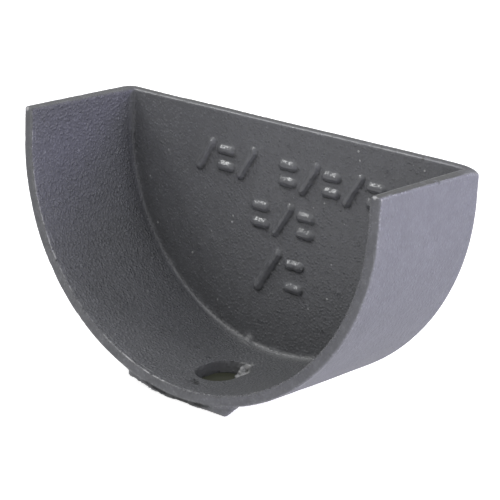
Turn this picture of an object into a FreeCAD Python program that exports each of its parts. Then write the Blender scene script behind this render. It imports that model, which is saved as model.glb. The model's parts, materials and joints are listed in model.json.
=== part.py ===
# Cast iron external stop end for a deep half round gutter, one casting.
# A U-shaped socket wall slips over the end of the gutter, a flat plate closes it, and a bolt goes
# through an oval hole in the sole. The stub of the casting gate, ground flat, is left under the mouth.
# +X runs across the gutter, +Y along it from the open mouth to the end plate, +Z is up.
# The origin lies under the middle of the part, on the surface that it stands on.
import FreeCAD
import Part
import math
import os

# Socket, in millimetres
gutter_width = 125.0        # outside width of the gutter that goes in
joint_gap = 2.5             # room for jointing compound on each side of the gutter
side_height = 9.5           # straight sides above the half round
socket_length = 46.0        # from the mouth to the inner face of the plate
plate_thickness = 4.0
rim_wall = 4.0              # wall at the mouth
root_wall = 5.0             # wall at the plate's back face, thicker by the draft of the mould

# Rounded edges
back_radius = 4.0           # round the back, where wall and plate meet outside
corner_fillet = 0.7         # inside, where wall and plate meet
edge_radius = 0.8           # round the mouth's face and along the top of wall and plate

# Bolt hole
hole_width = 13.0           # across the gutter
hole_length = 19.0          # along the gutter
hole_from_mouth = 20.8      # from the mouth's face to the hole's middle
hole_edge_radius = 0.6      # on the inside of the socket

# Gate stub under the mouth, left longer on one side
stub_left = 22.0            # its upright left end, from the middle
stub_flat_left = 9.0        # its ground face, to the left of the middle
stub_flat_right = 17.0      # and to the right
stub_left_slope = 12.5      # degrees, from the ground face to the left end
stub_right_slope = 45.0     # degrees, from the ground face up to the wall
stub_length = 2.5           # along the gutter
stub_setback = 0.4          # behind the rounded edge of the mouth
stub_drop = 0.2             # its ground face below the lowest line of the wall

# Derived sizes and places
inner_radius = gutter_width / 2 + joint_gap
rim_radius_outside = inner_radius + rim_wall
root_radius_outside = inner_radius + root_wall
total_length = socket_length + plate_thickness
mouth_y = -total_length / 2
plate_y = mouth_y + socket_length
back_y = total_length / 2
centre_z = root_radius_outside + stub_drop
top_z = centre_z + side_height
hole_y = mouth_y + hole_from_mouth

# How far a cutting solid runs past the face that it opens, and how near counts as touching
cut_room = 1.0
touch = 1e-4

ALONG_Y = FreeCAD.Vector(0, 1, 0)
ALONG_Z = FreeCAD.Vector(0, 0, 1)
HALF_TURN = 180.0


def u_wire(radius, y, top):
    """The U outline of a half round with straight sides, closed along the top, at one place along Y."""
    left_top = FreeCAD.Vector(-radius, y, top)
    left_spring = FreeCAD.Vector(-radius, y, centre_z)
    lowest = FreeCAD.Vector(0, y, centre_z - radius)
    right_spring = FreeCAD.Vector(radius, y, centre_z)
    right_top = FreeCAD.Vector(radius, y, top)
    return Part.Wire([
        Part.makeLine(left_top, left_spring),
        Part.Arc(left_spring, lowest, right_spring).toShape(),
        Part.makeLine(right_spring, right_top),
        Part.makeLine(right_top, left_top),
    ])


def edges_where(shape, test):
    """The edges of a shape whose middle and both ends pass a test."""
    found = []
    for edge in shape.Edges:
        middle = edge.valueAt((edge.FirstParameter + edge.LastParameter) / 2)
        points = [middle] + [vertex.Point for vertex in edge.Vertexes]
        if all(test(point) for point in points):
            found.append(edge)
    return found


def near(value, target):
    return abs(value - target) < touch


def outer_body():
    """The outside of wall and plate, drafted from the mouth to the back, with its back edge rounded."""
    plan = [
        FreeCAD.Vector(rim_radius_outside, mouth_y, centre_z),
        FreeCAD.Vector(root_radius_outside, back_y, centre_z),
        FreeCAD.Vector(-root_radius_outside, back_y, centre_z),
        FreeCAD.Vector(-rim_radius_outside, mouth_y, centre_z),
    ]
    sides = Part.Face(Part.makePolygon(plan + plan[:1])).extrude(ALONG_Z * side_height)
    axis_points = [FreeCAD.Vector(0, back_y, centre_z), FreeCAD.Vector(0, mouth_y, centre_z)]
    section = Part.Face(Part.makePolygon(plan[:2] + axis_points + plan[:1]))
    half_round = section.revolve(axis_points[0], ALONG_Y, HALF_TURN)
    body = sides.fuse(half_round).removeSplitter()

    def on_back_edge(point):
        return near(point.y, back_y) and not (near(point.z, top_z) and abs(point.x) < inner_radius)

    return body.makeFillet(back_radius, edges_where(body, on_back_edge))


def socket_space():
    """The room inside the socket, open at the mouth and the top, with the corner at the plate filleted."""
    above = top_z + cut_room
    face = Part.Face(u_wire(inner_radius, mouth_y - cut_room, above))
    space = face.extrude(ALONG_Y * (socket_length + cut_room))

    def on_plate_corner(point):
        return near(point.y, plate_y) and not (near(point.z, above) and abs(point.x) < inner_radius / 2)

    return space.makeFillet(corner_fillet, edges_where(space, on_plate_corner))


def gate_stub():
    """What is left of the casting gate: a short bar under the mouth with uneven ends, sunk in the wall."""
    sunk = stub_drop + root_wall + inner_radius - math.sqrt(inner_radius ** 2 - stub_flat_right ** 2)
    left_lift = (stub_left - stub_flat_left) * math.tan(math.radians(stub_left_slope))
    right_top = stub_flat_right + sunk / math.tan(math.radians(stub_right_slope))
    front_y = mouth_y + edge_radius + stub_setback
    corners = [
        FreeCAD.Vector(-stub_flat_left, front_y, 0),
        FreeCAD.Vector(stub_flat_right, front_y, 0),
        FreeCAD.Vector(right_top, front_y, sunk),
        FreeCAD.Vector(-stub_left, front_y, sunk),
        FreeCAD.Vector(-stub_left, front_y, left_lift),
    ]
    return Part.Face(Part.makePolygon(corners + corners[:1])).extrude(ALONG_Y * stub_length)


def bolt_hole():
    """The oval through hole, as a cutting solid."""
    end_radius = hole_width / 2
    half_run = (hole_length - hole_width) / 2
    low = -cut_room
    corners = [
        FreeCAD.Vector(-end_radius, hole_y - half_run, low),
        FreeCAD.Vector(0, hole_y - half_run - end_radius, low),
        FreeCAD.Vector(end_radius, hole_y - half_run, low),
        FreeCAD.Vector(end_radius, hole_y + half_run, low),
        FreeCAD.Vector(0, hole_y + half_run + end_radius, low),
        FreeCAD.Vector(-end_radius, hole_y + half_run, low),
    ]
    outline = Part.Wire([
        Part.Arc(corners[0], corners[1], corners[2]).toShape(),
        Part.makeLine(corners[2], corners[3]),
        Part.Arc(corners[3], corners[4], corners[5]).toShape(),
        Part.makeLine(corners[5], corners[0]),
    ])
    return Part.Face(outline).extrude(ALONG_Z * (centre_z + cut_room))


def end_cap():
    """The whole casting."""
    cap = outer_body().fuse(gate_stub()).cut(socket_space())
    cap = cap.cut(bolt_hole()).removeSplitter()

    def on_rim_or_top(point):
        return near(point.y, mouth_y) or near(point.z, top_z)

    def on_hole_mouth(point):
        beside_hole = abs(point.x) < hole_width and abs(point.y - hole_y) < hole_length
        return beside_hole and near(math.hypot(point.x, point.z - centre_z), inner_radius)

    cap = cap.makeFillet(edge_radius, edges_where(cap, on_rim_or_top))
    cap = cap.makeFillet(hole_edge_radius, edges_where(cap, on_hole_mouth))
    return cap.Solids[0]


os.makedirs("parts", exist_ok=True)
cap = end_cap()
cap.exportStep("parts/end_cap.step")
print("end_cap:", cap.ShapeType, "valid" if cap.isValid() else "not valid", round(cap.Volume), "mm3")
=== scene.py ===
# Looks of a cast iron gutter end cap in grey primer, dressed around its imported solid.
# Sizes and places are in millimetres unless a comment says otherwise. +X runs across the gutter,
# +Y along it from the open mouth to the end plate, +Z is up.
import functools
import itertools
import json
import math

import bmesh
import bpy
import numpy as np
from mathutils import Matrix, Vector


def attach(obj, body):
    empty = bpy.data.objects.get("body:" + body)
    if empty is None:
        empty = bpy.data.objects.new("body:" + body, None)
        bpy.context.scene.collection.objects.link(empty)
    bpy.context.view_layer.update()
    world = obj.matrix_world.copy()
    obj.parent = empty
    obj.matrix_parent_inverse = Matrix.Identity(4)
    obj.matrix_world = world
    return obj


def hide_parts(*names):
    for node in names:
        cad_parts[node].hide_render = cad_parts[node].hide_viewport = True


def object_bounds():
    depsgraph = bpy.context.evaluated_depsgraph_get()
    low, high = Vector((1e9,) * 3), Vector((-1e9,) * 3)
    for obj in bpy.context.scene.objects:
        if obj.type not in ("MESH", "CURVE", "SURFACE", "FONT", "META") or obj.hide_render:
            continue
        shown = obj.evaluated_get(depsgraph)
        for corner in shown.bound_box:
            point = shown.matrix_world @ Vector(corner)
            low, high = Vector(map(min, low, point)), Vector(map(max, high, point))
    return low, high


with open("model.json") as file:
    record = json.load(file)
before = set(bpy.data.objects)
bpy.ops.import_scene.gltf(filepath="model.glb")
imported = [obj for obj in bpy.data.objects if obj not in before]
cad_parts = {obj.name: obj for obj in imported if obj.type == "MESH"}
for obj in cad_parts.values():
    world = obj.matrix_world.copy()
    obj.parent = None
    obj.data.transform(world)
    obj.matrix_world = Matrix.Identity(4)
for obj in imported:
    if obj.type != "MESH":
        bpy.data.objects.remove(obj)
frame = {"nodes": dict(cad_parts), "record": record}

cad_low, cad_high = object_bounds()
MM = 0.001                  # one millimetre in metres, Blender's unit here

# Sizes of the casting, from the frame
mounts = {mount["name"]: mount for mount in frame["record"]["mounts"]}
socket = mounts["gutter_socket"]
bolt_slot = mounts["bolt_slot"]
box_low = np.array(cad_low) / MM
box_high = np.array(cad_high) / MM
inner_radius = socket["dims"]["r_mm"]
centre_z = socket["pos_m"][2] / MM
mouth_y = box_low[1]
back_y = box_high[1]
top_z = box_high[2]
plate_y = mouth_y + socket["dims"]["length_mm"]
hole_y = bolt_slot["pos_m"][1] / MM
hole_radius = bolt_slot["dims"]["hole_r_mm"]
hole_half_run = bolt_slot["dims"]["slot_length_mm"] / 2 - hole_radius

# Walls, rounded edges and the gate stub under the mouth
rim_wall = 4.0
root_wall = 5.0
back_radius = 4.0
corner_fillet = 0.7
edge_radius = 0.8
mouth_bevel = 0.3           # inner edge of the mouth
top_bevel = 0.6             # inner edges of the top
hole_edge_radius = 0.6
stub_left = -22.0           # the stub's upright left end
stub_left_lift = 2.9        # of its lower corner there
stub_flat_left = -9.0       # its ground face, from here
stub_flat_right = 17.0      # to here, where it slopes up
stub_length = 2.5
stub_middle_y = mouth_y + 1.8
stub_rise = 8.0

# Crease between the rim and the stub
crease_y = mouth_y + 0.45
crease_out = 0.05           # outside the plain rim
crease_half_width = 0.42
crease_middle = -2.0
crease_half_length = 15.5
crease_fade = 6.5           # over which it runs out at both ends

# Flash left in the back end of the bolt hole: a rough slope down into it
flash_left = -0.6
flash_front = 1.8
flash_back = 5.6            # where the slope starts, on the sole
flash_top = 5.2
flash_bottom = 0.5
flash_root = 1.0            # how far it reaches into the wall of the hole
flash_waver = 0.9           # how far its left side wavers
flash_room = 1.0            # points this far past its left and front still belong to it
flash_rough = 0.7           # height of its lumps
flash_grain = 1.0           # and their size
flash_seed = 51

# The back right corner of the top, worn lower
worn_corner = (70.0, back_y, top_z)
worn_corner_size = 4.5
worn_corner_drop = 1.4

# Mesh of the casting
voxel = 1.0                 # quads on plain faces
weld_reach = 0.001          # points of the solid this near are joined
fine_reach = 1.3            # quads are halved this near to an edge
finer_reach = 0.7           # and once more this near
edge_bend = 0.25            # bend of the surface that counts as an edge or a corner
mark_room = 1.3             # quads are halved twice this near to the outline of a raised mark
lump_room = 2.2             # and twice within this many widths of a lump or pit
settle_steps = 6            # how often points are drawn to the true surface
probe = 0.05                # step for slopes of the distance field
tiny = 1e-9                 # shortest slope that counts
noise_cells = 48            # random values repeat after this many
plate_room = 1.0            # points this near to the plate's inner face lie on it

# Raised marks on the plate: rows of slanting tally bars and pairs of dashes
mark_height = 1.4
mark_reach = 2.0            # a little more than that height
mark_slope = 0.65           # half the width of a mark's sloping side
mark_wear = 0.12            # half the share of their height that is worn off in places
mark_facing = -0.9          # Y part of a normal under which a point faces the mouth
stroke_half_width = 1.15
bar_lean = 0.6              # how far a bar leans over for each millimetre up
dash_half_length = 2.1
dash_rise = 0.62            # place of a dash, as a share of the row's half height
stroke_waver = 0.22         # how far a stroke's outline wavers
waver_size = 1.7
waver_seed = 61
MARK_ROWS = [
    {"z": 64.2, "height": 10.6, "bars": (-32.5, -15.5, 9.5, 26.5), "pairs": (-24.0, 1.0, 18.0, 35.0)},
    {"z": 49.0, "height": 11.0, "bars": (0.0,), "pairs": (-9.0, 9.0)},
    {"z": 31.5, "height": 14.5, "bars": (-5.0,), "pairs": (5.5,)},
]

# Casting skin: size of the features and how far they reach, from coarse to fine
SKIN = [
    {"size": 17.0, "depth": 0.16, "seed": 11},
    {"size": 6.0, "depth": 0.09, "seed": 12},
    {"size": 2.6, "depth": 0.03, "seed": 13},
]

# Nicks along the outer edges
chip_size = 1.6
chip_depth = 0.1
chip_detail = 0.5           # strength of nicks of half the size
chip_seed = 21

# Lumps and pits: place, width and height
corner_lump = (-10.6, 20.2, 6.6)
LUMPS = [
    (corner_lump, 1.4, 2.2),
    ((-12.6, 20.0, 7.3), 1.0, 1.1),
    ((-33.5, plate_y, 32.4), 0.45, 0.6),
    ((-28.2, plate_y, 36.7), 0.45, 0.5),
    ((-41.3, plate_y, 38.8), 0.45, 0.5),
    ((-22.5, plate_y, 11.5), 0.5, 0.6),
    ((-7.4, plate_y, 14.4), 0.5, 0.6),
    ((18.3, plate_y, 17.5), 0.5, 0.5),
    ((1.1, plate_y, 73.4), 0.4, 0.5),
    ((38.2, plate_y, 73.3), 0.4, 0.5),
    ((23.2, plate_y, 30.8), 0.5, 0.5),
    ((9.1, plate_y, 34.8), 0.45, 0.5),
    ((-16.3, 2.2, 7.3), 0.5, -0.6),
    ((-9.8, 0.8, 6.0), 0.5, -0.6),
    ((-10.6, -0.8, 6.1), 0.4, 0.5),
    ((1.2, -18.3, 5.2), 1.0, -0.5),
    ((0.0, -17.2, 5.2), 1.0, -0.6),
    ((-1.5, -15.9, 5.2), 0.8, -0.6),
    ((-1.6, -17.8, 5.2), 0.7, -0.5),
    ((11.7, -12.1, 6.3), 0.4, 0.5),
    ((0.2, 5.2, 5.0), 0.7, 0.5),
    ((0.6, 3.6, 3.4), 0.7, 0.6),
    ((3.4, 4.2, 4.2), 0.6, 0.5),
    ((1.9, 4.4, 4.0), 0.6, -0.9),
]

# Bare iron and painted highlight along the inner edges of the mouth and of the plate's top
edge_room = 1.5             # how far such an edge reaches to all sides
far_off = 5.0               # stands for nowhere near an edge
bright_length = 7.0            # bare and highlighted lengths
bright_detail = 0.6            # strength of lengths of a quarter of that size
bright_least = 0.08            # bareness and painted highlight on the right
rub_left = 0.5              # and what the left has more
bright_left_length = 0.3       # how much longer the bare lengths are on the left
bright_break = 1.3             # size of the breaks in them
bright_seed = 31
fray_fine = 0.6             # strength of those breaks
fray_coarse = 0.7           # and of larger ones
fray_ratio = 2.5            # how much larger
fray_reach = 0.25           # how far the bare line swerves with them
HIGHLIGHT_RUNS = [(-24.0, -5.0), (5.0, 13.5)]     # from x to x, where the mouth's lowest part has a painted highlight
highlight_run_end = 1.0               # length over which such a rub starts and stops
highlight_run_widening = 0.15         # share by which it is wider there
top_highlight = 0.35              # bareness and painted highlight along the plate's top
top_highlight_change = 0.3        # and how much that varies

# Bright spots: painted highlights on corners of the rim, paint off and painted highlight in the flash and
# round its top, painted light in the bolt hole
HIGHLIGHT_SPOTS = [(-67.6, mouth_y, 79.0), (69.2, mouth_y, 79.2), (66.6, mouth_y, 79.4)]
highlight_spot_size = 1.1
highlight_spot_core = 0.3
# paint off and painted highlight in the flash
flash_bright = 0.3
flash_bright_lumps = 0.6      # what its lumps have more
# painted highlight round the top of the flash
flash_glint = (1.2, 5.6, 5.2)
flash_glint_size = 3.2
flash_glint_core = 0.8
flash_glint_base = 0.15
flash_glint_lumps = 0.7
hole_light = 0.1             # painted light on the wall of the hole

# Painted highlight along the lowest part of the inner corner, painted light on the sole beside it and on
# the lump in it
corner_room = 0.5           # points this far behind wall or plate still belong to the corner
line_light_left = 0.15
line_light_middle = 0.3
line_lean = 2               # the line is this many times wider on the sole than on the plate
sole_beside_light = 0.25
sole_lean = 4               # and the painted light beside it this many times
lump_light = 0.4

# Lighter and darker paint, as shares; much of it is painted light and painted shade
sole_light_all = 0.25             # painted light on the whole sole
dust_back = 0.45            # more towards the plate
dust_corner = 0.3           # and more in the corner
plate_light_share = 0.5             # painted light on the plate at the upper left
corner_shade = 0.42         # painted shade in the left corner
wall_top_shade = 0.26       # painted shade on the top of the left wall
corner_shade_line = 0.7           # painted shade line high up in the corners
painted_side_light = 0.4            # painted light on the outside at the lower right
inside_edge_fade = 0.5           # what edges inside the socket lose of their wear and painted highlight
# painted highlight on the sloping sides of raised marks
mark_side_light = 0.6
SHADOW_STEP = (0.4, 0.0, -0.6)            # to the side where a raised stroke has its painted shadow
plain_share = 0.9           # what the edges that hardly show wear lose of their wear and painted highlight
sole_rise = 8.0             # the sole at the bolt hole lies below this height

# Patches on the rim of the mouth
rim_room = 1.0              # the rim lies within this of the mouth's front
rim_patch = 2.2             # their size
rim_detail = 0.6            # strength of patches of half the size
rim_wear = 0.65
rim_mottle = 1.1
rim_seed = 41

# Painted shade on the top faces: Z part of a normal at which it starts and is full, and what the left end
# has less
top_room = 1.0              # top faces lie within this of the top
top_reach = 2.0             # and their edges within this
top_start = 0.8
top_start_left = 0.3
top_full = 0.98
top_full_left = 0.1
top_border = 0.25           # how much their border varies
top_left_fade = 0.35
top_back_fade = 0.7         # at the worn corner

# Finish of the surfaces, as shares: gloss inside the socket, and grain on the three kinds of face
inside_gloss = 0.6
wall_grain = 1.0
plate_grain = 0.37
outside_grain = 0.28
mark_smooth = 0.65          # what raised marks lose of their grain
upper_smooth = 0.2          # and the upper left of the socket

# Ramps: the values at which a share is zero and at which it is one
RAMPS = {
    # outward from the inner wall
    "inside": (1.5, 0.5),
    "past_sole": (0.0, 0.5),
    "inner_top": (1.2, 0.6),
    # outward from the bolt hole
    "in_hole": (0.6, 0.2),
    "hole_edge": (1.6, 0.9),
    "on_flash": (0.1, -0.6),
    # from the sloping side of a raised stroke
    "on_mark": (0.3, 0.0),
    "mark_side": (0.2, 0.0),
    "mark_foot": (0.6, 0.0),
    "foot_side": (0.0, 0.5),            # how much further off a step to the side is
    # from the inner corner, and from the lump in it
    "dust_corner": (4.0, 0.0),
    "dry_off_corner": (0.5, 3.5),
    "corner_shade": (9.0, 0.0),
    "line": (1.1, 0.4),
    "worn_sole": (5.0, 1.0),
    "worn_lump": (2.2, 1.0),
    # from the crease, and its strength
    "crease": (0.3, 0.1),
    "crease_ends": (0.0, 0.3),
    # bend of the surface
    "worn_edge": (0.3, 1.0),
    "sharp_edge": (0.2, 0.8),
    "nick_edge": (0.4, 1.2),
    "corner": (-0.2, -0.8),
    # X, Y or Z part of a normal
    "rim": (-0.5, -0.9),
    "faces_up": (0.4, 0.8),
    "faces_right": (0.3, 0.8),
    "right_side": (0.2, 0.6),
    # places along X
    "nicks_right": (25.0, 5.0),
    "rub_left": (16.0, -6.0),
    "rim_right": (66.0, 5.0),
    "rim_left": (-70.0, -40.0),
    "line_left": (-50.0, -40.0),
    "line_middle": (-36.0, -24.0),
    "line_right": (9.0, -8.0),
    "worn_sole_left": (-30.0, -14.0),
    "dry_left": (-30.0, -52.0),
    "flash_border": (-0.5, 1.5),        # from the flash's left side
    "left_end": (1.0, 0.0),             # from the inner wall on the left
    "right_end": (0.0, 3.0),            # from the inner wall on the right
    # places along Y
    "dust_back": (-2.0, 20.0),
    "top_back": (12.0, 20.0),
    # heights
    "sole": (18.0, 7.0),
    "dry_top": (60.0, 72.0),
    "shade_bottom": (15.0, 40.0),
    "shade_top": (78.0, 66.0),
    "wall_top": (66.0, 78.0),
    "dark_corner": (44.0, 62.0),
    "glossy_corner": (48.0, 20.0),
    "low_side": (45.0, 12.0),
    "upper_wall": (45.0, 70.0),
    # relief of a pit
    "pit": (-0.1, -0.5),
    # random values
    "nick": (0.1, 0.9),
    "rub_lengths": (-0.1, 0.7),
    "rub_bits": (-0.1, 0.4),
    "rub_fray": (-0.7, 0.1),
    "flash_lumps": (0.0, 0.5),
}


def soft_step(low, high, value):
    """Rises smoothly from zero at the low value to one at the high one."""
    part = np.clip((value - low) / (high - low), 0, 1)
    return part * part * (3 - 2 * part)


def ramp(name, value):
    return soft_step(*RAMPS[name], value)


def lattice_noise(points, size, seed):
    """Smooth random values between -1 and 1 that change over about the given size."""
    grid = np.random.default_rng(seed).uniform(-1, 1, (noise_cells, noise_cells, noise_cells))
    scaled = points / size
    base = np.floor(scaled).astype(int)
    part = scaled - base
    part = part * part * (3 - 2 * part)
    total = np.zeros(len(points))
    for corner in itertools.product((0, 1), repeat=3):
        weight = np.prod(np.where(corner, part, 1 - part), axis=1)
        total += weight * grid[tuple(((base + corner) % noise_cells).T)]
    return total


def double_noise(points, size, seed, ratio, detail):
    """Random values of one size, with weaker ones that are smaller by a ratio."""
    return lattice_noise(points, size, seed) + detail * lattice_noise(points, size / ratio, seed)


def meet(a, b, radius):
    """Inside both of two distance fields, with the edge between them rounded."""
    inside = np.minimum(np.maximum(a, b), -radius)
    return inside + np.hypot(np.maximum(a + radius, 0), np.maximum(b + radius, 0))


def bevelled(a, b, leg):
    """Inside both of two distance fields, with the edge between them cut off flat."""
    return np.maximum(np.maximum(a, b), (a + b + leg) * math.sqrt(0.5))


def axis_distance(points):
    """How far points lie from the axis of the half round, and above it from its upright middle plane."""
    x, _, z = points.T
    return np.hypot(x, np.minimum(z - centre_z, 0))


def away_from(points, place):
    return np.linalg.norm(points - np.array(place), axis=1)


def hole_distance(points):
    """How far points lie outside the bolt hole, seen from above, less than zero in it."""
    x, y, _ = points.T
    return np.hypot(x, np.maximum(np.abs(y - hole_y) - hole_half_run, 0)) - hole_radius


def crease_strength(points):
    """One along the crease between rim and stub, running out to zero at its ends."""
    from_end = crease_half_length - np.abs(points[:, 0] - crease_middle)
    return soft_step(0, crease_fade, from_end) * (points[:, 2] < centre_z)


def crease_distance(points):
    """How far points lie outside the crease, less than zero in it."""
    x, y, z = points.T
    out = np.hypot(x, z - centre_z) - inner_radius - rim_wall
    return np.hypot(out - crease_out, y - crease_y) - crease_half_width * crease_strength(points)


def stub_distance(points):
    """How far points lie outside the gate stub, less than zero inside it."""
    x, y, z = points.T
    run = stub_flat_left - stub_left
    slant = (stub_left_lift * (stub_flat_left - x) - run * z) / math.hypot(run, stub_left_lift)
    right = (x - stub_flat_right - z) * math.sqrt(0.5)
    sides = np.abs(y - stub_middle_y) - stub_length / 2
    return np.maximum.reduce([stub_left - x, slant, right, sides, -z, z - stub_rise])


def flash_distance(points, hole):
    """How far points lie outside the flash in the bolt hole, less than zero inside it."""
    x, y, z = points.T
    slope = (z - flash_top - y + flash_back) * math.sqrt(0.5)
    side = flash_left - x
    at_hole = hole < flash_root
    side[at_hole] += flash_waver * lattice_noise(points[at_hole], 2 * flash_grain, flash_seed)
    return np.maximum.reduce([slope, side, flash_front - y, flash_bottom - z, hole - flash_root])


def casting_distance(points):
    """How far points lie outside the plain casting, less than zero inside it."""
    _, y, z = points.T
    from_axis = axis_distance(points)
    draft = (root_wall - rim_wall) / (back_y - mouth_y)
    outer = from_axis - inner_radius - rim_wall - draft * (y - mouth_y)
    body = meet(outer, y - back_y, back_radius)
    body = meet(body, z - top_z, edge_radius)
    body = meet(body, mouth_y - y, edge_radius)
    body = np.maximum(np.minimum(body, stub_distance(points)), -crease_distance(points))
    space = meet(from_axis - inner_radius, y - plate_y, corner_fillet)
    bevel = np.where(z > top_z - edge_radius, top_bevel, mouth_bevel)
    body = bevelled(body, -space, bevel)
    hole = hole_distance(points)
    return np.minimum(meet(body, -hole, hole_edge_radius), flash_distance(points, hole))


def outward(points):
    """Unit normals of the distance field."""
    slopes = []
    for axis in np.eye(3):
        step = axis * probe
        slopes.append(casting_distance(points + step) - casting_distance(points - step))
    normals = np.stack(slopes, axis=1)
    return normals / np.maximum(np.linalg.norm(normals, axis=1, keepdims=True), tiny)


def bend(points, reach):
    """How the surface bends, from six points around: above zero on outer edges, below zero in corners."""
    total = -6 * casting_distance(points)
    for axis in np.eye(3):
        total += casting_distance(points + axis * reach) + casting_distance(points - axis * reach)
    return total / reach


def strokes():
    """The middle line of every raised stroke on the plate: x and z of both its ends."""
    for row in MARK_ROWS:
        reach = row["height"] / 2 - stroke_half_width
        lean = bar_lean * reach
        for x in row["bars"]:
            yield x - lean, row["z"] - reach, x + lean, row["z"] + reach
        for x, rise in itertools.product(row["pairs"], (-dash_rise * reach, dash_rise * reach)):
            yield x - dash_half_length, row["z"] + rise, x + dash_half_length, row["z"] + rise


def from_strokes(points):
    """How far points lie from the nearest raised stroke, seen along Y, less than zero on it."""
    x, _, z = points.T
    nearest = np.full(len(points), np.inf)
    for x_start, z_start, x_end, z_end in strokes():
        run = x_end - x_start
        rise = z_end - z_start
        share = ((x - x_start) * run + (z - z_start) * rise) / (run ** 2 + rise ** 2)
        share = np.clip(share, 0, 1)
        nearest = np.minimum(nearest, np.hypot(x - x_start - share * run, z - z_start - share * rise))
    flat = np.stack([x, np.full(len(points), plate_y), z], axis=1)
    return nearest - stroke_half_width + stroke_waver * lattice_noise(flat, waver_size, waver_seed)


def at_plate_face(points):
    return np.abs(points[:, 1] - plate_y) < plate_room


def mark_relief(points, normals):
    """Height of the raised strokes on the plate's inner face."""
    on_plate = (normals[:, 1] < mark_facing) & at_plate_face(points)
    rise = (mark_slope - from_strokes(points)) / (2 * mark_slope)
    worn = 1 - mark_wear * (1 + lattice_noise(points, 2 * waver_size, waver_seed))
    return mark_height * on_plate * np.clip(rise, 0, 1) * worn


def skin_relief(points):
    """Waves and grain of the sand mould, all of it inward, so that the casting keeps inside its size."""
    relief = np.zeros(len(points))
    for wave in SKIN:
        relief += wave["depth"] * (lattice_noise(points, wave["size"], wave["seed"]) - 1) / 2
    return relief


def lump_relief(points):
    """Small lumps and pits left by the mould."""
    relief = np.zeros(len(points))
    for place, width, height in LUMPS:
        relief += height * np.exp(-(away_from(points, place) / width) ** 2)
    return relief


def chip_relief(points, edge):
    """Small nicks along the outer edges, running out on the right."""
    nicks = double_noise(points, chip_size, chip_seed, ratio=2, detail=chip_detail)
    nicks = ramp("nick", nicks) * ramp("nicks_right", points[:, 0])
    return -chip_depth * nicks * ramp("nick_edge", edge)


def on_flash(points):
    """One on the rough slope in the bolt hole."""
    x, y, _ = points.T
    beside = (x > flash_left - flash_room) * (y > flash_front - flash_room)
    return ramp("on_flash", hole_distance(points)) * beside


def flash_relief(points):
    return flash_rough * on_flash(points) * lattice_noise(points, flash_grain, flash_seed)


def leaned(points):
    """Leans the wall of the bolt hole forward where the flash is, so that its points cover the slope."""
    x, y, z = points.T
    depth = np.clip(flash_top - z, 0, flash_top)
    on_wall = np.abs(hole_distance(points)) < voxel
    shift = np.zeros_like(points)
    shift[:, 1] = depth * on_wall * (x > flash_left) * (y > flash_front)
    return points - shift


def settle(points):
    """Draws points to the surface of the plain casting."""
    for _ in range(settle_steps):
        points = points - outward(points) * casting_distance(points)[:, None]
    return points


def mesh_points(mesh):
    points = np.empty(len(mesh.vertices) * 3)
    mesh.vertices.foreach_get("co", points)
    return points.reshape(-1, 3) / MM


def set_mesh_points(mesh, points):
    mesh.vertices.foreach_set("co", (points * MM).ravel())
    mesh.update()


def remeshed(node):
    """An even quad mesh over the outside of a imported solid."""
    start = bpy.data.objects.new("casting_start", node.data.copy())
    bpy.context.scene.collection.objects.link(start)
    weld = start.modifiers.new("weld", "WELD")
    weld.merge_threshold = weld_reach * MM
    remesh = start.modifiers.new("remesh", "REMESH")
    remesh.mode = "VOXEL"
    remesh.voxel_size = voxel * MM
    graph = bpy.context.evaluated_depsgraph_get()
    mesh = bpy.data.meshes.new_from_object(start.evaluated_get(graph))
    bpy.data.objects.remove(start)
    return mesh


def near_edges(points, reach):
    return np.abs(bend(points, reach)) > edge_bend


def near_marks(points):
    return (np.abs(from_strokes(points)) < mark_room) & at_plate_face(points)


def near_lumps(points):
    wanted = np.zeros(len(points), bool)
    for place, width, _ in LUMPS:
        wanted |= away_from(points, place) < lump_room * width
    return wanted


def near_crease(points):
    return (crease_distance(points) < crease_half_width) & (crease_strength(points) > 0)


def refine(mesh, wanted):
    """Halves the quads at the points that a test picks, and settles the new points."""
    fine = wanted(mesh_points(mesh))
    work = bmesh.new()
    work.from_mesh(mesh)
    work.verts.ensure_lookup_table()
    edges = [edge for edge in work.edges if fine[edge.verts[0].index] and fine[edge.verts[1].index]]
    bmesh.ops.subdivide_edges(work, edges=edges, cuts=1, use_grid_fill=True)
    work.to_mesh(mesh)
    work.free()
    set_mesh_points(mesh, settle(mesh_points(mesh)))


def bright_edges(points):
    """Bareness and painted highlight of the inner edges along their length, and how far points lie beside
    an edge's middle.
    """
    x, y, z = points.T
    from_axis = axis_distance(points)
    at_mouth = (y < mouth_y + edge_room) & (from_axis < inner_radius + edge_room) & (z < top_z - edge_room)
    at_plate = (z > top_z - edge_room) & (np.abs(y - plate_y) < edge_room) & (np.abs(x) < inner_radius)
    fray = fray_fine * lattice_noise(points, bright_break, bright_seed)
    fray += fray_coarse * lattice_noise(points, fray_ratio * bright_break, bright_seed)
    beside = np.full(len(points), far_off)
    beside[at_mouth] = (from_axis - inner_radius - y + mouth_y + fray_reach * fray)[at_mouth]
    beside[at_plate] = (top_z - z - y + plate_y)[at_plate]
    lengths = double_noise(points, bright_length, bright_seed, ratio=4, detail=bright_detail)
    left = ramp("rub_left", x)
    bare = (bright_least + rub_left * left) * ramp("rub_lengths", lengths + bright_left_length * left)
    rough = lattice_noise(points, flash_grain, flash_seed)
    for start, end in HIGHLIGHT_RUNS:
        along = soft_step(start - highlight_run_end, start, x) * soft_step(end + highlight_run_end, end, x) * (z < centre_z)
        bare = np.maximum(bare, along * ramp("rub_bits", rough))
        beside *= 1 - highlight_run_widening * along
    bare *= ramp("rub_fray", fray)
    bare = np.where(at_plate, top_highlight + top_highlight_change * lengths, bare)
    return np.clip(bare, 0, 1) * (at_mouth | at_plate), beside


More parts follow.
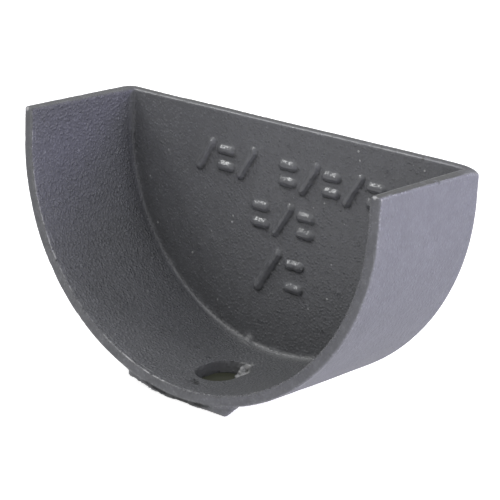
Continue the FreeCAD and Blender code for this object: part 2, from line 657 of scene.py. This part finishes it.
def bright_spots(points):
    """Bright spots: painted highlights on corners of the rim, paint off and painted highlight in the flash
    and round its top.
    """
    rough = ramp("flash_lumps", lattice_noise(points, flash_grain, flash_seed))
    in_flash = on_flash(points) * ramp("flash_border", points[:, 0] - flash_left)
    bare = in_flash * (flash_bright + flash_bright_lumps * rough)
    # painted highlight round the top of the flash
    round_top = soft_step(flash_glint_size, flash_glint_core, away_from(points, flash_glint))
    bare = np.maximum(bare, round_top * (flash_glint_base + flash_glint_lumps * rough))
    # painted highlights on the rim's corners
    for place in HIGHLIGHT_SPOTS:
        bare = np.maximum(bare, soft_step(highlight_spot_size, highlight_spot_core, away_from(points, place)))
    return bare


def corner_highlight(points):
    """Painted highlight in the lowest part of the inner corner, and painted light on the sole there and on
    its lump.
    """
    x, y, z = points.T
    off_wall = inner_radius - axis_distance(points)
    off_plate = plate_y - y
    inside = (off_wall > -corner_room) & (off_plate > -corner_room) & (z < centre_z)
    along = line_light_left * ramp("line_left", x) + line_light_middle * ramp("line_middle", x)
    line = along * ramp("line_right", x) * ramp("line", np.maximum(line_lean * off_wall, off_plate))
    on_sole = ramp("worn_sole_left", x) * ramp("worn_sole", np.maximum(sole_lean * off_wall, off_plate))
    lump = lump_light * ramp("worn_lump", away_from(points, corner_lump))
    return np.maximum.reduce([line, sole_beside_light * on_sole, lump]) * inside


def zones(points):
    """Shares of points in the wall of the bolt hole, inside the socket, and on its plate."""
    y = points[:, 1]
    off_wall = axis_distance(points) - inner_radius
    in_hole = ramp("in_hole", hole_distance(points)) * ramp("past_sole", off_wall)
    inside = ramp("inside", off_wall) * (y < plate_y + plate_room) * (1 - in_hole)
    return in_hole, inside, inside * (y > plate_y - mark_reach)


def shaded_tops(points, normals):
    """Painted shade on the top faces, weaker at the left end and at the worn corner."""
    x, y, z = points.T
    on_left = ramp("left_end", x + inner_radius)
    start = top_start - top_start_left * on_left + top_border * lattice_noise(points, rim_patch, rim_seed)
    full = top_full - top_full_left * on_left
    at_back = ramp("top_back", y) * ramp("right_end", x - inner_radius)
    top_face = soft_step(start, full, normals[:, 2]) * (z > top_z - top_room)
    return top_face * (1 - top_left_fade * on_left) * (1 - top_back_fade * at_back)


def rim_patches(points, normals):
    """Lighter patches on the rim of the mouth, fewer towards both its ends."""
    x, y, _ = points.T
    on_rim = ramp("rim", normals[:, 1]) * (y < mouth_y + rim_room)
    worn = rim_wear * ramp("rim_right", x) * ramp("rim_left", x)
    mottle = double_noise(points, rim_patch, rim_seed, ratio=2, detail=rim_detail)
    return np.clip(worn + rim_mottle * mottle, 0, 1) * on_rim


def plain_edges(points):
    """Edges that hardly show worn paint and painted highlight: round the bolt hole, and the inner edge of
    the top on the right.
    """
    x, y, z = points.T
    beside_hole = ramp("hole_edge", hole_distance(points)) * (z < sole_rise)
    inner_top = ramp("inner_top", axis_distance(points) - inner_radius)
    inner_top *= (z > top_z - top_reach) * (x > 0) * (y < plate_y - plate_room)
    return plain_share * np.maximum(beside_hole, inner_top)


def mark_foot_shadows(points, off_stroke):
    """The painted shadow at the foot of raised strokes, on their lower right."""
    foot = ramp("mark_foot", off_stroke - mark_slope) * soft_step(0, mark_slope, off_stroke)
    further = from_strokes(points + np.array(SHADOW_STEP)) - off_stroke
    return foot * ramp("foot_side", further)


def tones(points, normals, on_plate):
    """How much painted light and painted shade the paint carries inside: a lighter sole and upper left
    plate, a darker left corner and top of the left wall.
    """
    x, y, z = points.T
    from_corner = np.maximum(inner_radius - axis_distance(points), plate_y - y)
    sole_light = sole_light_all + dust_back * ramp("dust_back", y) + dust_corner * ramp("dust_corner", from_corner)
    sole_light *= ramp("faces_up", normals[:, 2]) * ramp("sole", z)
    plate_light = on_plate * ramp("dry_left", x) * ramp("dry_top", z) * ramp("dry_off_corner", from_corner)
    shade = ramp("corner_shade", from_corner) * ramp("shade_bottom", z) * ramp("shade_top", z) * (x < 0)
    wall_top = ramp("faces_right", normals[:, 0]) * ramp("wall_top", z)
    return np.maximum(sole_light, plate_light_share * plate_light), np.maximum(corner_shade * shade, wall_top_shade * wall_top)


def layers(plain, points, normals, edge):
    """Where the finish changes, by name; plain is where the points lie without their relief."""
    x, _, z = points.T
    in_hole, inside, on_plate = zones(points)
    top_face = shaded_tops(points, normals)
    plain_edge = plain_edges(points)
    light, shade = tones(points, normals, on_plate)
    # painted shade in the crease between rim and stub; wear and gloss are kept out of it
    crease = ramp("crease", crease_distance(plain)) * ramp("crease_ends", crease_strength(plain))
    corner = ramp("corner", edge)
    off_stroke = from_strokes(points)
    on_mark = on_plate * ramp("on_mark", off_stroke - mark_slope)
    mark_side = on_plate * ramp("mark_side", np.abs(off_stroke) - mark_slope)

    patches = rim_patches(points, normals)
    # lighter edges, rim patches and mark sides: wear, with painted highlight on the edges and the sides of
    # marks
    worn = np.maximum.reduce([ramp("worn_edge", edge), patches, mark_side_light * mark_side])
    worn *= (1 - top_face) * (1 - plain_edge) * (1 - inside_edge_fade * inside) * (1 - crease)
    # painted light on the lower outside that faces right
    low_side = painted_side_light * ramp("right_side", normals[:, 0]) * ramp("low_side", z) * (1 - inside)

    # painted shade along the corners high up
    dark_corner = corner_shade_line * corner * ramp("dark_corner", z)
    # painted shadow at the foot of raised strokes
    foot = on_plate * mark_foot_shadows(points, off_stroke)
    # painted shade in the pits
    pits = ramp("pit", lump_relief(plain))

    sharp_edge = ramp("sharp_edge", edge) * (1 - plain_edge)
    sharp = np.maximum.reduce([sharp_edge, corner * ramp("glossy_corner", z), on_mark, on_flash(points)])

    grain = outside_grain + (wall_grain - outside_grain) * inside - (wall_grain - plate_grain) * on_plate
    upper_left = inside * ramp("upper_wall", z) * (x < 0)

    bare, beside = bright_edges(plain)
    spots = np.maximum.reduce([bright_spots(plain), corner_highlight(plain), hole_light * in_hole])
    beside[spots > bare] = 0
    return {
        "outer_edge": np.maximum.reduce([worn, light * inside, low_side]),
        "inner_corner": np.maximum.reduce([dark_corner, foot, pits, crease, shade * inside]),
        "gloss": np.maximum(inside_gloss * inside, sharp) * (1 - top_face) * (1 - crease),
        "grain": grain * (1 - mark_smooth * on_mark) * (1 - upper_smooth * upper_left),
        "bare": np.maximum(bare, spots),
        "beside_edge": beside,
        "top_face": top_face,
    }


def make_casting():
    """The whole end cap as one dressed mesh in place of its plain solid."""
    mesh = remeshed(frame["nodes"]["end_cap"])
    set_mesh_points(mesh, settle(leaned(mesh_points(mesh))))
    for reach in (fine_reach, finer_reach):
        refine(mesh, functools.partial(near_edges, reach=reach))
    for wanted in (near_marks, near_marks, near_lumps, near_lumps, near_crease):
        refine(mesh, wanted)
    points = mesh_points(mesh)
    normals = outward(points)
    edge = bend(points, edge_radius)
    relief = mark_relief(points, normals) + skin_relief(points) + lump_relief(points)
    relief += chip_relief(points, edge) + flash_relief(points)
    dressed = points + normals * relief[:, None]
    from_worn = away_from(points, worn_corner)
    dressed[:, 2] -= worn_corner_drop * np.exp(-(from_worn / worn_corner_size) ** 2)
    dressed = np.clip(dressed, box_low, box_high)
    set_mesh_points(mesh, dressed)
    for name, values in layers(points, dressed, normals, edge).items():
        layer = mesh.attributes.new(name, "FLOAT", "POINT")
        layer.data.foreach_set("value", values.astype(np.float32))
    mesh.materials.clear()
    mesh.polygons.foreach_set("use_smooth", np.ones(len(mesh.polygons), bool))
    casting = bpy.data.objects.new("end_cap_casting", mesh)
    bpy.context.scene.collection.objects.link(casting)
    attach(casting, "root")
    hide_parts("end_cap")
    return casting


# Grey primer over iron: its colours
PRIMER_DARK = (0.126, 0.128, 0.137, 1)
PRIMER_LIGHT = (0.140, 0.142, 0.152, 1)
WEAR_AND_LIGHT_COLOUR = (0.200, 0.202, 0.214, 1)
# painted shade for the hollows of the grain, also the darker tone of random blotches
SHADE_AND_BLOTCH_COLOUR = (0.085, 0.086, 0.091, 1)
# painted shade in corners, the crease, pits and at the feet of marks
PAINTED_SHADE_COLOUR = (0.048, 0.049, 0.051, 1)
# colour of bare iron, of painted highlights and of specks
BARE_AND_HIGHLIGHT_COLOUR = (0.44, 0.44, 0.445, 1)
# painted shade on the top faces
TOP_SHADE_COLOUR = (0.075, 0.076, 0.074, 1)

# Size and detail of its random patterns, and its scattered spots
MOTTLE = {"size": 7.0, "detail": 4.0}
GRAIN = {"size": 0.78, "detail": 3.0}
BLOTCH = {"size": 2.4, "detail": 2.0}
FINE = {"size": 0.45, "detail": 2.0}
DOMES = {"spacing": 1.0, "rim": 0.6, "core": 0.1, "few": 0.0, "many": 1.0}
SPECKS = {"spacing": 4.0, "rim": 0.13, "core": 0.06, "few": 0.68, "many": 0.78}
grain_share = 0.5           # of the height of the grain, the part of the random pattern
dome_share = 0.5            # and that of the domes
grain_depth = 1.1
speck_height = 0.15         # as a share of that depth
fine_depth = 0.08
specular = 0.25

# What patterns turn into: from two values to shares, zero and one where none are given
SPANS = {
    "mottle": (0.3, 0.7),
    "hollow": (0.4, 0.2, 0.0, 0.7),
    "dome_head": (0.2, 0.8, 0.0, 0.5),
    "blotch": (0.65, 0.35, 0.0, 0.3),
    "wear": (0.3, 0.6, 0.3, 1.0),
    "bare_line": (0.5, 0.25),           # millimetres beside the middle of an edge
    "dull": (0.0, 1.0, 0.62, 0.22),     # gloss to roughness
    "uneven": (0.3, 0.7, -0.03, 0.05),
    "speck_inside": (outside_grain, plate_grain),
    "speck_wall": (plate_grain, wall_grain, 1.0, 0.2),
    "fine": (0.0, outside_grain),
}


class Nodes:
    """Adds and links the nodes of one material or world."""

    def __init__(self, tree):
        self.tree = tree
        self.tree.nodes.clear()

    def add(self, kind, settings=(), **inputs):
        node = self.tree.nodes.new(kind)
        for name, value in dict(settings).items():
            setattr(node, name, value)
        for name, value in inputs.items():
            self.put(value, node.inputs[name.replace("_", " ")])
        return node

    def put(self, value, target):
        if isinstance(value, bpy.types.NodeSocket):
            self.tree.links.new(value, target)
        else:
            target.default_value = value

    def noise(self, place, size, detail):
        node = self.add("ShaderNodeTexNoise", Vector=place, Scale=1 / (size * MM), Detail=detail)
        return node.outputs["Fac"]

    def scattered(self, place, spacing, rim, core, few, many):
        """Round spots of random strength: outer and inner radius as shares of their spacing."""
        cells = self.add("ShaderNodeTexVoronoi", Vector=place, Scale=1 / (spacing * MM)).outputs
        luck = self.add("ShaderNodeSeparateColor", Color=cells["Color"]).outputs["Red"]
        return self.math("MULTIPLY", self.span(cells["Distance"], rim, core), self.span(luck, few, many))

    def span(self, value, low, high, to_low=0.0, to_high=1.0):
        node = self.add("ShaderNodeMapRange", Value=value)
        numbers = {"From Min": low, "From Max": high, "To Min": to_low, "To Max": to_high}
        for name, number in numbers.items():
            node.inputs[name].default_value = number
        return node.outputs["Result"]

    def mix(self, share, first, second):
        """Mixes two colours; of the node's many sockets these are the ones for colours."""
        node = self.tree.nodes.new("ShaderNodeMix")
        node.data_type = "RGBA"
        for value, socket_number in ((share, 0), (first, 6), (second, 7)):
            self.put(value, node.inputs[socket_number])
        return node.outputs[2]

    def math(self, operation, *values):
        node = self.tree.nodes.new("ShaderNodeMath")
        node.operation = operation
        for value, target in zip(values, node.inputs):
            self.put(value, target)
        return node.outputs[0]

    def layer(self, name):
        return self.add("ShaderNodeAttribute", {"attribute_name": name}).outputs["Fac"]


def primer_material():
    """Satin grey primer that shows the grain of the sand-cast iron under it."""
    material = bpy.data.materials.new("grey_primer")
    material.use_nodes = True
    nodes = Nodes(material.node_tree)
    place = nodes.add("ShaderNodeTexCoord").outputs["Object"]
    strength = nodes.layer("grain")

    # Patterns: mottle, grain with domes, blotches, specks
    mottle = nodes.noise(place, **MOTTLE)
    domes = nodes.scattered(place, **DOMES)
    dome_height = nodes.math("MULTIPLY", domes, dome_share)
    grain = nodes.math("MULTIPLY_ADD", nodes.noise(place, **GRAIN), grain_share, dome_height)
    blotch = nodes.noise(place, **BLOTCH)
    speck = nodes.scattered(place, **SPECKS)
    speck = nodes.math("MULTIPLY", speck, nodes.span(strength, *SPANS["speck_inside"]))
    speck = nodes.math("MULTIPLY", speck, nodes.span(strength, *SPANS["speck_wall"]))

    # Colour, from the paint to the wear, bare iron, painted light and painted shade over it
    colour = nodes.mix(nodes.span(mottle, *SPANS["mottle"]), PRIMER_DARK, PRIMER_LIGHT)
    # painted shade in the hollows of the grain and painted highlight on the heads of its domes; the
    # blotches are random darker tone
    grain_shade = nodes.math("MULTIPLY", nodes.span(grain, *SPANS["hollow"]), strength)
    colour = nodes.mix(grain_shade, colour, SHADE_AND_BLOTCH_COLOUR)
    dome_glints = nodes.math("MULTIPLY", nodes.span(domes, *SPANS["dome_head"]), strength)
    colour = nodes.mix(dome_glints, colour, WEAR_AND_LIGHT_COLOUR)
    colour = nodes.mix(nodes.span(blotch, *SPANS["blotch"]), colour, SHADE_AND_BLOTCH_COLOUR)
    colour = nodes.mix(speck, colour, BARE_AND_HIGHLIGHT_COLOUR)
    colour = nodes.mix(nodes.layer("top_face"), colour, TOP_SHADE_COLOUR)
    # lighter paint: wear, painted highlight on edges and marks, painted light on the sole, the upper left
    # plate and the lower right outside
    wear = nodes.math("MULTIPLY", nodes.layer("outer_edge"), nodes.span(grain, *SPANS["wear"]))
    colour = nodes.mix(wear, colour, WEAR_AND_LIGHT_COLOUR)
    # painted shade: dark corner lines, shadows at the feet of marks, pits, the crease and the left corner
    colour = nodes.mix(nodes.layer("inner_corner"), colour, PAINTED_SHADE_COLOUR)
    # bare iron and painted highlight along inner edges and in spots
    beside = nodes.math("ABSOLUTE", nodes.layer("beside_edge"))
    bare = nodes.math("MULTIPLY", nodes.layer("bare"), nodes.span(beside, *SPANS["bare_line"]))
    colour = nodes.mix(bare, colour, BARE_AND_HIGHLIGHT_COLOUR)

    # Roughness and bumps
    dull = nodes.span(nodes.layer("gloss"), *SPANS["dull"])
    rough = nodes.math("ADD", dull, nodes.span(grain, *SPANS["uneven"]))
    height = nodes.math("MULTIPLY_ADD", grain, strength, nodes.math("MULTIPLY", speck, speck_height))
    coarse_bump = nodes.add("ShaderNodeBump", Height=height, Strength=1.0, Distance=grain_depth * MM)
    fine_bump = nodes.add("ShaderNodeBump", Height=nodes.noise(place, **FINE), Distance=fine_depth * MM,
                          Strength=nodes.span(strength, *SPANS["fine"]),
                          Normal=coarse_bump.outputs["Normal"])
    shader = nodes.add("ShaderNodeBsdfPrincipled", Base_Color=colour, Roughness=rough,
                       Specular_IOR_Level=specular, Normal=fine_bump.outputs["Normal"])
    nodes.add("ShaderNodeOutputMaterial", Surface=shader.outputs[0])
    return material


# Stage: floor and backdrop
FLOOR_COLOUR = (0.82, 0.82, 0.83, 1)
floor_half = 1500.0
floor_drop = 0.3
white_share = 0.85          # of the white that the camera sees on the floor, the part that needs no light
# painted shade on the floor under the bolt hole, dark to the camera too
SHADE_COLOUR = (0.04, 0.04, 0.035, 1)
SHADE_GLOW = (0.030, 0.032, 0.023, 1)
shade_place = (-1.5, -2.0)  # middle of the painted shade under the bolt hole
shade_x = 11.5              # and its half sizes
shade_y = 15.0
shade_core = 0.8            # share of them that is fully dark


def seen_directly(nodes):
    """One for rays from the camera, mirror-like reflections and see-through things."""
    path = nodes.add("ShaderNodeLightPath").outputs
    seen = nodes.math("MAXIMUM", path["Is Camera Ray"], path["Is Glossy Ray"])
    return nodes.math("MAXIMUM", seen, path["Is Transmission Ray"])


def floor_material():
    """Pale and matt, white to the camera, with a patch of painted shade under the bolt hole."""
    material = bpy.data.materials.new("pale_floor")
    material.use_nodes = True
    nodes = Nodes(material.node_tree)
    place = nodes.add("ShaderNodeTexCoord").outputs["Object"]
    shrunk = nodes.add("ShaderNodeMapping", Vector=place, Scale=(1 / (shade_x * MM), 1 / (shade_y * MM), 0),
                       Location=(-shade_place[0] / shade_x, -shade_place[1] / shade_y, 0))
    from_middle = nodes.add("ShaderNodeVectorMath", {"operation": "LENGTH"})
    nodes.put(shrunk.outputs[0], from_middle.inputs[0])
    clear = nodes.span(from_middle.outputs["Value"], shade_core, 1.0)
    matt = nodes.add("ShaderNodeBsdfDiffuse", Color=nodes.mix(clear, SHADE_COLOUR, FLOOR_COLOUR))
    glow_colour = nodes.mix(clear, SHADE_GLOW, (white_share, white_share, white_share, 1))
    white = nodes.add("ShaderNodeEmission", Color=glow_colour, Strength=seen_directly(nodes))
    both = nodes.add("ShaderNodeAddShader")
    nodes.put(matt.outputs[0], both.inputs[0])
    nodes.put(white.outputs[0], both.inputs[1])
    nodes.add("ShaderNodeOutputMaterial", Surface=both.outputs[0])
    return material


def make_floor():
    half = floor_half * MM
    corners = [(-half, -half, 0), (half, -half, 0), (half, half, 0), (-half, half, 0)]
    mesh = bpy.data.meshes.new("floor")
    mesh.from_pydata(corners, [], [(0, 1, 2, 3)])
    mesh.materials.append(floor_material())
    floor = bpy.data.objects.new("floor", mesh)
    floor.location.z = cad_low.z - floor_drop * MM
    bpy.context.scene.collection.objects.link(floor)


# Light: three soft boxes on the right, three above, and a little from all round
world_colour = (1.0, 0.99, 0.96)
world_level = 0.5
LAMPS = [                   # name, place, size, power in watts, colour
    ("right_low", (600, 0, 75), 140, 0.93, (1.0, 1.0, 0.8)),
    ("right_mid", (650, 0, 190), 200, 1.35, (0.75, 0.74, 1.0)),
    ("right_back", (590, 220, 250), 200, 1.9, (0.62, 0.57, 1.0)),
    ("top_left", (-570, -240, 760), 140, 2.64, (0.99, 1.0, 0.99)),
    ("top_front", (0, -600, 800), 600, 0.8, (0.95, 1.0, 0.9)),
    ("top_right", (600, 0, 800), 600, 3.8, (0.88, 0.89, 0.98)),
]


def make_world():
    world = bpy.data.worlds.new("studio")
    world.use_nodes = True
    nodes = Nodes(world.node_tree)
    ambient = nodes.add("ShaderNodeBackground", Color=(*world_colour, 1), Strength=world_level)
    white = nodes.add("ShaderNodeBackground", Color=(1, 1, 1, 1), Strength=1.0)
    both = nodes.add("ShaderNodeMixShader", Fac=seen_directly(nodes))
    nodes.put(ambient.outputs[0], both.inputs[1])
    nodes.put(white.outputs[0], both.inputs[2])
    nodes.add("ShaderNodeOutputWorld", Surface=both.outputs[0])
    bpy.context.scene.world = world


def make_lamps():
    middle = (cad_low + cad_high) / 2
    for name, place, size, power, colour in LAMPS:
        light = bpy.data.lights.new(name, "AREA")
        light.shape = "SQUARE"
        light.size = size * MM
        light.energy = power
        light.color = colour
        holder = bpy.data.objects.new(name, light)
        holder.location = Vector(place) * MM
        holder.rotation_euler = (middle - holder.location).to_track_quat("-Z", "Y").to_euler()
        holder.visible_camera = False
        bpy.context.scene.collection.objects.link(holder)


# Camera, at the photograph's angle; it aims beside the middle of the plate's half round
camera_azimuth = math.radians(38.73)
camera_elevation = math.radians(17.10)
camera_roll = math.radians(3.05)
camera_distance = 617.8
camera_aside = -11.28
camera_lift = -29.54
camera_lens = 143.45        # focal length
camera_film = 36.0          # width of its film
camera_nearest = 10.0       # what is nearer isn't drawn


def make_camera():
    back = Vector((math.sin(camera_azimuth) * math.cos(camera_elevation),
                   -math.cos(camera_azimuth) * math.cos(camera_elevation),
                   math.sin(camera_elevation)))
    level = Vector((math.cos(camera_azimuth), math.sin(camera_azimuth), 0))
    upright = back.cross(level)
    right = level * math.cos(camera_roll) + upright * math.sin(camera_roll)
    up = back.cross(right)
    aim = Vector((0, plate_y, centre_z))
    eye = aim + back * camera_distance + right * camera_aside + up * camera_lift
    data = bpy.data.cameras.new("camera")
    data.sensor_width = camera_film
    data.lens = camera_lens
    data.clip_start = camera_nearest * MM
    camera = bpy.data.objects.new("camera", data)
    camera.matrix_world = Matrix.Translation(eye * MM) @ Matrix((right, up, back)).transposed().to_4x4()
    bpy.context.scene.collection.objects.link(camera)
    bpy.context.scene.camera = camera


casting = make_casting()
casting.data.materials.append(primer_material())
make_floor()
make_world()
make_lamps()
make_camera()
bpy.context.scene.view_settings.view_transform = "Standard"
